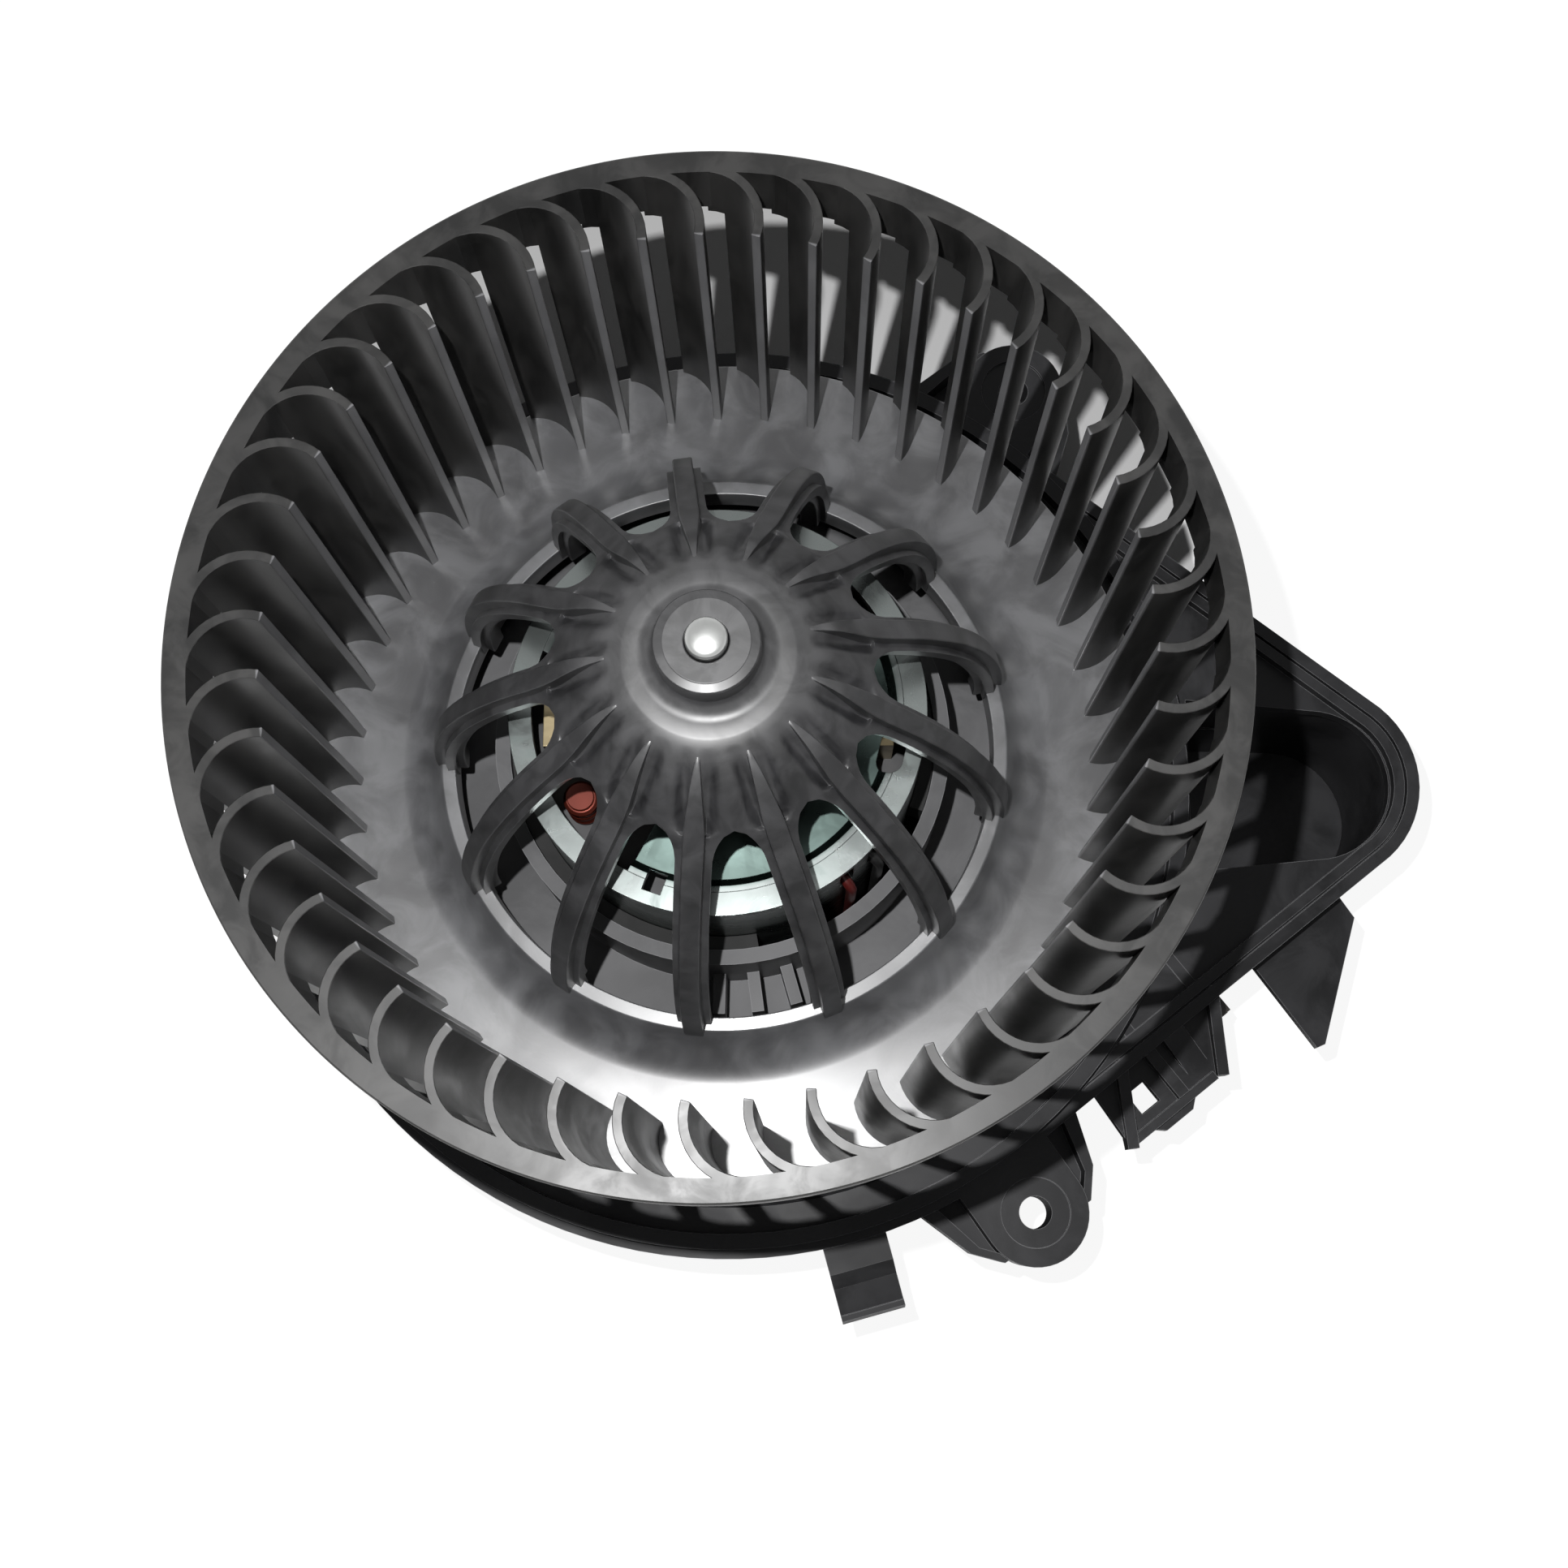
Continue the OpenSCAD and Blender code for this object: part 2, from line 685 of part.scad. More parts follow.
module ear_flare(base_r, shoulder, flare, inset) {
    polygon([
        [base_r, -ear_r - flare + inset], [shoulder, -ear_r - flare / 2 + inset],
        [shoulder + ear_r / 2, -ear_r + inset], [shoulder + ear_r / 2, ear_r - inset],
        [shoulder, ear_r + flare / 2 - inset], [base_r, ear_r + flare - inset]
    ]);
    translate([ear_pitch_r, 0]) circle(r = ear_r - 0.3 - inset);
}

module snap_tongue() {
    rotate(-74.8) rotate([90, 0, 0]) linear_extrude(11.2, center = true)
        polygon([
            [flange_r - 1.5, -0.2], [flange_r + 4.4, -0.2], [flange_r + 6.9, -2.6],
            [flange_r + 11.4, -3.4], [flange_r + 11.4, -2.4], [flange_r + 12.4, -2.4],
            [flange_r + 13, -6.4], [flange_r + 11.2, -6.4], [flange_r + 10.8, -5.4],
            [flange_r + 6, -4.6], [flange_r + 3.8, -2.4], [flange_r - 1.5, -2.4]
        ]);
}

module wing_plate() {
    rotate(edge_angle) translate([0, -flange_r, -8.4]) linear_extrude(2)
        polygon([[54, 1.6], [74.5, 1.6], [74, -4.6], [54.8, -18.4], [53.2, -18]]);
}

module harness_bracket() {
    n = -flange_r;
    rotate(edge_angle) translate([0, n, 0]) {
        difference() {
            translate([0, 0, -6.2]) linear_extrude(2.4)
                polygon([[16.5, 1.6], [15.6, -11], [21, -11.1], [22.4, -12.4], [28.4, -12.4],
                    [30, -11.1], [35, -11], [43, 1.6]]);
            translate([20.8, -7.6, -8]) cube([4, 4.4, 6]);
        }
        gusset([23, 1.2], [15.6, -11.1]);
        gusset([44, 1.2], [36.2, -11.1]);
        translate([27.4, -9.4, -4.4]) cube([2.2, 10.6, 2.6]);
        translate([31.6, -8.4, -4.2]) rotate([90, 0, 90]) linear_extrude(4.4)
            polygon([[0, 0], [9.4, 0], [9.4, 3.4]]);
        translate([16.6, -11, -4.2]) cube([18.6, 1.6, 1.6]);
    }
}

// An upright web between two points of the bracket's plan, deeper at its root
module gusset(root, tip) {
    run = norm(tip - root);
    translate([root[0], root[1], 0]) rotate(atan2(tip[1] - root[1], tip[0] - root[0]))
        translate([0, 1, 0]) rotate([90, 0, 0]) linear_extrude(2)
        polygon([[-1.2, -1], [run, -2.4], [run, -6.2], [run * 0.6, -8], [0, -15], [-1.2, -15]]);
}

screw_head_r = screw_r + 1.5;
boss_out = screw_head_r + 0.25;
boss_x = arm_x - 10;
boss_places = concat(
    [for (az = [110, 180, 250]) (cup_out_r + boss_out) * [cos(az), sin(az)]],
    [for (side = [1, -1])
        [boss_x, side * (duct_half + (duct_tip_r - duct_half) * boss_x / arm_x + boss_out)]]);
tab_top = base_z + 4;
tab_t = 2.5;
screw_len = 9;

module cover_bosses() {
    for (p = boss_places)
        translate([p[0], p[1], tab_top]) cylinder(r = screw_r + 2.2, h = 10);
}

module connector_rails() {
    rotate(edge_angle) for (u = [connector_u + 4, connector_u + 18])
        translate([u, -flange_r + 3.4, connector_top])
        cube([2, 11, -deck_t - connector_top + bite]);
}

module can_seats() {
    for (az = [75, 195, 315])
        rotate(az) translate([can_r - 3.4, -3, can_bottom - 5]) cube([cup_in_r - can_r + 3.4 + bite, 6, 5]);
}

module motor_carrier() {
    color([0.11, 0.11, 0.12])
        difference() {
            union() {
                deck();
                deck_webs();
                arm_top();
                duct_walls();
                for (az = [-ear_angle, ear_angle, far_ear_angle]) ear(az);
                snap_tongue();
                wing_plate();
                harness_bracket();
                cover_bosses();
                connector_rails();
                can_seats();
            }
            translate([cup_in_r - 4, 2 - mouth_half, base_z + 2])
                cube([cup_wall + 6, 2 * mouth_half - 4, -base_z - 9]);
            for (az = [lead_plus_az, lead_minus_az])
                rotate(az) translate([cup_in_r - 1, 0, lead_exit_z])
                rotate([0, 90, 0]) cylinder(r = lead_r + 0.4, h = cup_wall + 3);
            for (p = boss_places)
                translate([p[0], p[1], tab_top - 1]) cylinder(r = screw_r + thread_gap, h = screw_len);
        }
}

module bottom_cover() {
    rim_out = lid_gap + 1.8;
    color([0.09, 0.09, 0.10])
        difference() {
            union() {
                translate([0, 0, base_z - cover_t]) linear_extrude(cover_t) keyhole(rim_out);
                translate([0, 0, base_z - cover_t]) linear_extrude(tab_top - base_z + cover_t)
                    difference() {
                        keyhole(rim_out);
                        keyhole(lid_gap);
                    }
                for (p = boss_places)
                    translate([p[0], p[1], tab_top - tab_t]) difference() {
                        cylinder(r = screw_r + 3, h = tab_t);
                        translate([-p[0], -p[1], -1]) linear_extrude(tab_t + 2) keyhole(lid_gap);
                    }
            }
            for (p = boss_places)
                translate([p[0], p[1], tab_top - tab_t - 1])
                cylinder(r = screw_r + thread_gap + 0.15, h = tab_t + 2);
            for (p = boss_places)
                translate([p[0], p[1], base_z - cover_t - 1])
                cylinder(r = screw_r + 2.2, h = tab_top - tab_t - base_z + cover_t + 1);
        }
}

module cover_screws() {
    color([0.70, 0.71, 0.73])
        for (p = boss_places)
            translate([p[0], p[1], tab_top - tab_t]) {
                translate([0, 0, -2]) difference() {
                    cylinder(r = screw_head_r, h = 2);
                    translate([-2, -0.4, -1]) cube([4, 0.8, 1.9]);
                    translate([-0.4, -2, -1]) cube([0.8, 4, 1.9]);
                }
                cylinder(r = screw_r, h = tab_t + screw_len - 2);
            }
}

module damper(z) {
    color([0.07, 0.07, 0.07])
        rotate(-20) translate([0, 0, z])
        rotate_extrude(angle = 300)
        translate([can_r + slip_gap, 0])
        square([cup_gap - 2 * slip_gap, 7]);
}

module upper_damper() { damper(cup_top - 8.5); }
module lower_damper() { damper(cup_top - 32); }

connector_top = -skirt_h - 6.6;
connector_h = 13.4;
connector_w = 24;
connector_in = flange_r - 17.1;
connector_out = flange_r + 3.9;
connector_u = (connector_in * cos(edge_angle) - duct_half - plug_to_duct) / sin(edge_angle)
    - connector_w;
terminal_us = [connector_u + 7, connector_u + 17];

module connector_housing() {
    wall = 1.6;
    color([0.13, 0.12, 0.11])
        rotate(edge_angle)
        difference() {
            union() {
                translate([connector_u, -connector_out, connector_top - connector_h])
                    cube([connector_w, connector_out - connector_in, connector_h]);
                translate([connector_u + connector_w - bite, -connector_out, connector_top - 6])
                    cube([1.6, 5, 4]);
            }
            translate([connector_u + wall, -connector_out - 1,
                connector_top - connector_h + wall])
                cube([connector_w - 2 * wall, connector_out - connector_in - 1,
                    connector_h - 2 * wall]);
            for (u = terminal_us)
                translate([u - 3.25, -connector_in - 3, connector_top - connector_h / 2 - 0.5])
                cube([6.5, 6, 1]);
        }
}

module terminal(u) {
    z = connector_top - connector_h / 2 - 0.4;
    color([0.80, 0.78, 0.70])
        rotate(edge_angle) {
            translate([u - 3.15, -connector_in - 13.5, z]) cube([6.3, 15, 0.8]);
            translate([u - 1.6, -connector_in + 1, z]) cube([3.2, 3.6, 0.8]);
        }
}

module terminal_plus() { terminal(terminal_us[0]); }
module terminal_minus() { terminal(terminal_us[1]); }

// Leads: up the can's side from the cup's wall and over its rim, then out to the terminals
function polar(r, az, z) = [r * cos(az), r * sin(az), z];
function on_edge(u, n, z) =
    [u * cos(edge_angle) + n * sin(edge_angle), u * sin(edge_angle) - n * cos(edge_angle), z];
function climb(az) = [
    polar(can_in_r - 3.7, az, lead_z), polar(can_in_r - 1, az, lead_z),
    polar(can_r - 0.6, az, lead_z), polar(lead_track_r - 0.5, az, lead_z - 0.4),
    polar(lead_track_r, az, lead_z - 1.8), polar(lead_track_r, az, lead_z - 5),
    polar(lead_track_r, az, (lead_z + lead_exit_z) / 2), polar(lead_track_r, az, lead_exit_z + 5),
    polar(lead_track_r, az, lead_exit_z + 1.8), polar(lead_track_r + 0.6, az, lead_exit_z + 0.4),
    polar(lead_track_r + 2, az, lead_exit_z), polar(cup_out_r + 2, az, lead_exit_z)
];
terminal_z = connector_top - connector_h / 2;
plus_route = concat(climb(lead_plus_az), [
    [29, -33, -7], [36, -32, -9], [44, -30, -12], [52, -29, -15],
    on_edge(terminal_us[0], connector_in - 9, terminal_z),
    on_edge(terminal_us[0], connector_in - 4.8, terminal_z)
]);
minus_route = concat(climb(lead_minus_az), [
    [34, -27, -7], [42, -25, -9], [50, -23.6, -12], [58, -23, -15],
    on_edge(terminal_us[1], connector_in - 8, terminal_z),
    on_edge(terminal_us[1], connector_in - 4.8, terminal_z)
]);

module lead(route, tint) { color(tint) tube(route, lead_r, [0.3, 0.5, 0.81]); }
module lead_plus() { lead(plus_route, [0.55, 0.10, 0.08]); }
module lead_minus() { lead(minus_route, [0.08, 0.08, 0.08]); }

fan_wheel();
motor_shaft();
armature_core();
armature_windings();
commutator();
thrust_washers();
motor_can();
end_bell();
upper_bearing();
lower_bearing();
magnet_left();
magnet_right();
magnet_clips();
brush_plate();
brush_holder_left();
brush_holder_right();
brush_left();
brush_right();
brush_spring_left();
brush_spring_right();
choke_left();
choke_right();
motor_carrier();
bottom_cover();
upper_damper();
lower_damper();
connector_housing();
terminal_plus();
terminal_minus();
lead_plus();
lead_minus();
cover_screws();
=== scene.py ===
"""Car cabin blower motor: the looks of the fan wheel, the carrier and the motor that shows through the dome."""

import json

import bmesh
import bpy
from math import cos, exp, pi, radians, sin, sqrt
from mathutils import Matrix, Vector

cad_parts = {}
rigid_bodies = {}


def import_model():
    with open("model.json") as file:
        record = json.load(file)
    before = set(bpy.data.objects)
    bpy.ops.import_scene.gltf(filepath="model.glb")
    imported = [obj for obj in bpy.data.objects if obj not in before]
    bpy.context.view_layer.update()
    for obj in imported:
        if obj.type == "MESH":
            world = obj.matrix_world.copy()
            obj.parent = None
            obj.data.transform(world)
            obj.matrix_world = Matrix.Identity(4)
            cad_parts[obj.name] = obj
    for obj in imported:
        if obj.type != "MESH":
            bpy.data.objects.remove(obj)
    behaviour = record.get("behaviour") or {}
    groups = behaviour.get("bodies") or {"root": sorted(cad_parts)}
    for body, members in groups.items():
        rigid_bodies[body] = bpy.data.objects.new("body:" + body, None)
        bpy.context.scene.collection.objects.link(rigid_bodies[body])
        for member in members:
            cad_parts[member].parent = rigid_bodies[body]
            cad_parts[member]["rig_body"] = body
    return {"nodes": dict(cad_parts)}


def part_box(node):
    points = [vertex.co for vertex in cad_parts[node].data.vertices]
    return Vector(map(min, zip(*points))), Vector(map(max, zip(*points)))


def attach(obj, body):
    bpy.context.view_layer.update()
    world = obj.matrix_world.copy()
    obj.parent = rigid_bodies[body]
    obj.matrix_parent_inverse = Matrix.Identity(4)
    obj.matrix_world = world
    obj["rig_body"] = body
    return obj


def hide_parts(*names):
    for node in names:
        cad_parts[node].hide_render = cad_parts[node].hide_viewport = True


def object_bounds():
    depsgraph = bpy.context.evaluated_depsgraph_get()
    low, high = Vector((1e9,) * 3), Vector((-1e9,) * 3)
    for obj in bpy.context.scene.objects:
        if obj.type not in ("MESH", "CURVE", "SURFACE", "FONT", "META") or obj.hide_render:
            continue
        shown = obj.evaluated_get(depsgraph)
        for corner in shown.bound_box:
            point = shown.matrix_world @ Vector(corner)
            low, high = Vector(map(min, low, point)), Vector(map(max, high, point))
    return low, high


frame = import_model()
cad_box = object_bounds()
MM = 0.001


# Camera: the photograph's place and lens

def set_camera():
    data = bpy.data.cameras.new("camera")
    data.sensor_width = 36
    data.sensor_fit = "HORIZONTAL"
    data.lens = 2427 / 1932 * 36
    data.clip_start = 0.01
    camera = bpy.data.objects.new("camera", data)
    right = Vector((0.99996, 0, -0.0094))
    up = Vector((0.00206, 0.97559, 0.21958))
    back = Vector((0.00917, -0.21959, 0.97555))
    turn = Matrix((right, up, back)).transposed().to_4x4()
    camera.matrix_world = Matrix.Translation(Vector((13.04, -78.25, 346.62)) * MM) @ turn
    bpy.context.scene.collection.objects.link(camera)
    bpy.context.scene.camera = camera


set_camera()


# Materials

class Val:
    """A socket, or a number, with the operators of plain maths."""

    def __init__(self, tree, socket):
        self.tree = tree
        self.socket = socket

    def _maths(self, operation, *others, swap=False):
        node = self.tree.nodes.new("ShaderNodeMath")
        node.operation = operation
        given = [self, *others]
        if swap:
            given.reverse()
        for slot, value in zip(node.inputs, given):
            put(self.tree, slot, value)
        return Val(self.tree, node.outputs[0])

    def __add__(self, other):
        return self._maths("ADD", other)

    __radd__ = __add__

    def __mul__(self, other):
        return self._maths("MULTIPLY", other)

    __rmul__ = __mul__

    def __sub__(self, other):
        return self._maths("SUBTRACT", other)

    def __rsub__(self, other):
        return self._maths("SUBTRACT", other, swap=True)

    def __truediv__(self, other):
        return self._maths("DIVIDE", other)

    def __pow__(self, other):
        return self._maths("POWER", other)

    def clamp(self):
        return self._maths("MAXIMUM", 0.0)._maths("MINIMUM", 1.0)

    def sine(self):
        return self._maths("SINE")


def put(tree, slot, value):
    if isinstance(value, Val):
        tree.links.new(value.socket, slot)
    elif value is not None:
        slot.default_value = value


class Shade:
    """One material and the nodes in it."""

    def __init__(self, name):
        self.material = bpy.data.materials.new(name)
        self.material.use_nodes = True
        self.tree = self.material.node_tree
        self.surface = self.tree.nodes["Principled BSDF"]

    def node(self, kind, settings=None, inputs=None, out=0):
        node = self.tree.nodes.new(kind)
        for key, value in (settings or {}).items():
            setattr(node, key, value)
        for key, value in (inputs or {}).items():
            put(self.tree, node.inputs[key], value)
        return Val(self.tree, node.outputs[out])

    def place(self, scale=(1, 1, 1), turn=(0, 0, 0)):
        where = self.node("ShaderNodeTexCoord", out="Object")
        return self.node("ShaderNodeMapping", inputs={"Vector": where, "Scale": scale, "Rotation": turn})

    def reach(self):
        """Distance from the fan axis."""
        return self.node("ShaderNodeVectorMath", {"operation": "LENGTH"}, {0: self.place((1, 1, 0))}, out="Value")

    def noise(self, scale, detail=3.0, rough=0.55, where=None, warp=0.0):
        return self.node("ShaderNodeTexNoise", inputs={
            "Vector": where or self.place(), "Scale": scale, "Detail": detail,
            "Roughness": rough, "Distortion": warp}, out="Fac")

    def ramp(self, value, low, high):
        return self.node("ShaderNodeMapRange", {"interpolation_type": "SMOOTHSTEP"},
                         {"Value": value, "From Min": low, "From Max": high})

    def mix(self, factor, first, second):
        node = self.tree.nodes.new("ShaderNodeMix")
        node.data_type = "RGBA"
        for slot, value in ((node.inputs[0], factor), (node.inputs[6], first), (node.inputs[7], second)):
            put(self.tree, slot, value)
        return Val(self.tree, node.outputs[2])

    def bump(self, height, strength, distance, normal=None):
        inputs = {"Height": height, "Strength": strength, "Distance": distance}
        if normal:
            inputs["Normal"] = normal
        return self.node("ShaderNodeBump", inputs=inputs)

    def soft_edges(self, radius):
        return self.node("ShaderNodeBevel", {"samples": 6}, {"Radius": radius})

    def set(self, **sockets):
        for key, value in sockets.items():
            put(self.tree, self.surface.inputs[key.replace("_", " ")], value)
        return self.material


def rgb(r, g, b):
    return (r, g, b, 1.0)


def moulded(name, dark, pale, rough, gloss, cloud=110, coat=0.0, coat_rough=0.28, edge=0.0, streak=1.0, painted_edge_highlight=0.5,
            rounded=True, inner=None):
    """Glass-filled plastic from a polished mould: a cloudy tone that also paints a sheen, flow marks, edges painted
    pale as highlights and a fine grain.

    inner is (radius, blur, colour, share): what lies nearer the fan axis is painted paler, as a highlight."""
    s = Shade(name)
    where = s.place((1, 1, streak))
    patches = s.ramp(s.noise(cloud, 5, 0.6, where, 0.7), 0.36, 0.66)
    flow = s.ramp(s.noise(cloud * 0.4, 3, 0.5, where, 0.8), 0.34, 0.68)
    # The clouds and flow marks vary the tone at random and also paint a cloudy sheen into the colour
    sheen = patches * 0.55 + flow * 0.45
    colour = s.mix(sheen, dark, pale)
    if inner:
        radius, blur, tint, share = inner
        # Painted highlight: the colour turns paler inside the given radius
        painted_highlight_near_axis = (1 - s.ramp(s.reach(), radius * MM, (radius + blur) * MM)) * share * (0.6 + 0.4 * sheen)
        colour = s.mix(painted_highlight_near_axis, colour, tint)
    normal = None
    if edge:
        normal = s.soft_edges(edge)
        flat = s.node("ShaderNodeNewGeometry", out="Normal")
        turn = s.node("ShaderNodeVectorMath", {"operation": "DOT_PRODUCT"}, {0: normal, 1: flat}, out="Value")
        # Painted highlight: edges are painted pale, as thin highlight lines along them
        colour = s.mix(s.ramp(1 - turn, 0.02, 0.22) * painted_edge_highlight, colour, rgb(0.30, 0.30, 0.31))
        if not rounded:
            normal = None
    return s.set(
        Base_Color=colour,
        Roughness=(rough + patches * 0.09 - flow * 0.06).clamp(),
        Specular_IOR_Level=gloss,
        Coat_Weight=(coat * (0.45 + 0.55 * sheen)) if coat else 0.0,
        Coat_Roughness=coat_rough,
        Normal=s.bump(s.noise(2200, 2, 0.5), 0.06, 0.012 * MM, normal))


def plated(name, tint, rough, streak=60, metallic=1.0, edge=0.15 * MM, painted_highlight_ring=None):
    """Zinc-plated or ground metal with soft streaks and stains, and a ring painted brighter as a highlight where one is
    given.
    """
    s = Shade(name)
    lines = s.noise(streak, 4, 0.6, s.place((1, 1, 9)))
    stain = s.ramp(s.noise(120, 4, 0.6, warp=0.8), 0.45, 0.75)
    dull = tuple(c * 0.55 for c in tint[:3]) + (1.0,)
    if painted_highlight_ring:
        # Painted highlight: beyond r 28 mm the colour turns to the brighter ring colour
        tint = s.mix(s.ramp(s.reach(), 27.4 * MM, 28.4 * MM), tint, painted_highlight_ring)
    return s.set(
        Base_Color=s.mix(stain * 0.6, tint, dull),
        Metallic=metallic,
        Roughness=(rough + lines * 0.12 + stain * 0.15).clamp(),
        Normal=s.bump(lines, 0.15, 0.03 * MM, s.soft_edges(edge)))


def wound(name, tint, pitch, axis=2):
    """Enamelled copper wire wound side by side, with painted shade in the grooves between the turns."""
    s = Shade(name)
    where = s.node("ShaderNodeSeparateXYZ", inputs={"Vector": s.place()}, out=axis)
    turns = (where * (2 * pi / pitch)).sine() * 0.5 + 0.5
    patches = s.noise(220, 3)
    # Painted shade: the colour darkens between the turns, where the grooves are shaded
    shade = tuple(c * 0.45 for c in tint[:3]) + (1.0,)
    return s.set(
        Base_Color=s.mix((turns * 0.6 + patches * 0.5).clamp(), shade, tint),
        Metallic=0.6,
        Roughness=(0.30 + patches * 0.15).clamp(),
        Normal=s.bump(turns, 0.8, 0.25 * MM))


def matt(name, dark, pale, rough, scale=300):
    """Rubber, carbon, resin or nylon: a dull surface with a fine grain."""
    s = Shade(name)
    grain = s.noise(scale, 4, 0.6)
    dust = s.ramp(s.noise(60, 3, warp=0.4), 0.4, 0.7)
    return s.set(
        Base_Color=s.mix(dust, dark, pale),
        Roughness=(rough + grain * 0.12).clamp(),
        Normal=s.bump(grain, 0.2, 0.05 * MM, s.soft_edges(0.15 * MM)))


# The blades' tip faces inside r 62.15 mm are painted pale as a highlight
wheel_plastic = moulded("wheel_plastic", rgb(0.009, 0.009, 0.009), rgb(0.046, 0.045, 0.044), 0.40, 0.55, 150,
                        coat=0.06, streak=0.35, inner=(62.15, 0.3, rgb(0.26, 0.26, 0.27), 0.9))
# Painted reflection: the hub plate is the blades' plastic painted paler, for the broad reflected haze on the flat plate
plate_plastic_painted_reflection = moulded("plate_plastic_painted_reflection", rgb(0.060, 0.060, 0.063), rgb(0.170, 0.172, 0.180), 0.40, 1.0, 100,
                        coat=0.9, edge=0.14 * MM)
dome_plastic = moulded("dome_plastic", rgb(0.007, 0.007, 0.008), rgb(0.046, 0.046, 0.049), 0.42, 0.9, 190,
                       coat=0.8, coat_rough=0.42, edge=0.14 * MM)
# Painted highlight: inside r 46 mm the carrier's deck is painted pale, and its edges get painted pale highlight lines
carrier_plastic = moulded("carrier_plastic", rgb(0.014, 0.014, 0.015), rgb(0.052, 0.052, 0.055), 0.42, 0.15, 90,
                          edge=0.26 * MM, painted_edge_highlight=0.85, rounded=False, inner=(46, 2, rgb(0.19, 0.19, 0.195), 0.8))
connector_resin = moulded("connector_resin", rgb(0.022, 0.018, 0.015), rgb(0.040, 0.034, 0.029), 0.36, 0.4,
                          edge=0.16 * MM)
can_zinc = plated("can_zinc", rgb(0.24, 0.27, 0.26), 0.22)
# The end bell's outer ring is painted brighter as a highlight; the dish inside it stays darker
bell_zinc = plated("bell_zinc", rgb(0.095, 0.13, 0.12), 0.21, 90, painted_highlight_ring=rgb(0.21, 0.23, 0.225))
ground_steel = plated("ground_steel", rgb(0.56, 0.57, 0.56), 0.24, 200)
sheet_steel = plated("sheet_steel", rgb(0.40, 0.40, 0.41), 0.38, 300)
spring_steel = plated("spring_steel", rgb(0.66, 0.67, 0.69), 0.26)
tinned = plated("tinned", rgb(0.74, 0.72, 0.66), 0.28)
holder_brass = plated("holder_brass", rgb(0.34, 0.28, 0.17), 0.28)
bronze = plated("bronze", rgb(0.55, 0.38, 0.20), 0.42, 400)
turned_copper = plated("turned_copper", rgb(0.72, 0.38, 0.22), 0.24, 300)
copper_wire = wound("copper_wire", rgb(0.20, 0.035, 0.02), 0.9 * MM)
ferrite = matt("ferrite", rgb(0.030, 0.030, 0.032), rgb(0.070, 0.070, 0.073), 0.6)
carbon = matt("carbon", rgb(0.020, 0.020, 0.021), rgb(0.05, 0.05, 0.052), 0.55, 900)
rubber = matt("rubber", rgb(0.010, 0.010, 0.010), rgb(0.025, 0.025, 0.025), 0.7)
resin = matt("resin", rgb(0.020, 0.020, 0.022), rgb(0.045, 0.045, 0.047), 0.45)
nylon = matt("nylon", rgb(0.62, 0.60, 0.54), rgb(0.72, 0.70, 0.64), 0.4)
red_lead = matt("red_lead", rgb(0.07, 0.005, 0.004), rgb(0.11, 0.009, 0.007), 0.4, 80)
black_lead = matt("black_lead", rgb(0.012, 0.012, 0.012), rgb(0.03, 0.03, 0.03), 0.4, 80)


# Pieces

def finish_piece(bm, name, material, body, sharp=38):
    """Makes the mesh an object with rounded shading up to the sharp angle."""
    bmesh.ops.recalc_face_normals(bm, faces=bm.faces)
    return keep_piece(bm, name, material, body, sharp)


def keep_piece(bm, name, material, body, sharp=38):
    for face in bm.faces:
        face.smooth = True
    for edge in bm.edges:
        edge.smooth = len(edge.link_faces) == 2 and edge.calc_face_angle(0) < radians(sharp)
    mesh = bpy.data.meshes.new(name)
    bm.to_mesh(mesh)
    bm.free()
    mesh.materials.append(material)
    piece = bpy.data.objects.new(name, mesh)
    bpy.context.scene.collection.objects.link(piece)
    flats = piece.modifiers.new("flats", "WEIGHTED_NORMAL")
    flats.keep_sharp = True
    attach(piece, body)
    return piece


def dress(node, material, sharp=32):
    """The CAD node's own shape, welded so that its round walls shade smoothly."""
    bm = bmesh.new()
    bm.from_mesh(frame["nodes"][node].data)
    bmesh.ops.remove_doubles(bm, verts=bm.verts, dist=0.002 * MM)
    body = frame["nodes"][node]["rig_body"]
    piece = keep_piece(bm, node + "_look", material, body, sharp)
    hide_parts(node)
    return piece


def turned(bm, profile, steps=180, round_by=0.0, segments=3):
    """Spins a closed profile of (r, z) in millimetres about the fan axis and rounds its corners."""
    verts = [bm.verts.new((r * MM, 0, z * MM)) for r, z in profile]
    edges = [bm.edges.new(pair) for pair in zip(verts, verts[1:] + verts[:1])]
    made = bmesh.ops.spin(bm, geom=verts + edges, cent=(0, 0, 0), axis=(0, 0, 1), dvec=(0, 0, 0),
                          angle=2 * pi, steps=steps, use_merge=True, use_duplicate=False)
    bmesh.ops.remove_doubles(bm, verts=bm.verts, dist=0.001 * MM)
    if round_by:
        rings = [e for e in bm.edges if len(e.link_faces) == 2 and e.calc_face_angle(0) > radians(40)]
        bmesh.ops.bevel(bm, geom=rings, offset=round_by * MM, segments=segments, affect="EDGES",
                        profile=0.5, material=-1)
    return made


def copies(bm, count, start=0.0):
    """Repeats everything in the mesh round the fan axis."""
    bmesh.ops.rotate(bm, verts=bm.verts, cent=(0, 0, 0), matrix=Matrix.Rotation(radians(start), 3, "Z"))
    bmesh.ops.spin(bm, geom=bm.verts[:] + bm.edges[:] + bm.faces[:], cent=(0, 0, 0), axis=(0, 0, 1),
                   dvec=(0, 0, 0), angle=2 * pi * (count - 1) / count, steps=count - 1,
                   use_merge=False, use_duplicate=True)


# Fan wheel

RIM_TOP = 86
PLATE = 19
BLADES = 47
RIBS = 13
DOME_R = 47.5
DOME_H = 54
DOME_FOOT = 26
RIB_PHASE = 98.3
BLADE_PHASE = 91.7
RIB_HALF = 1.6
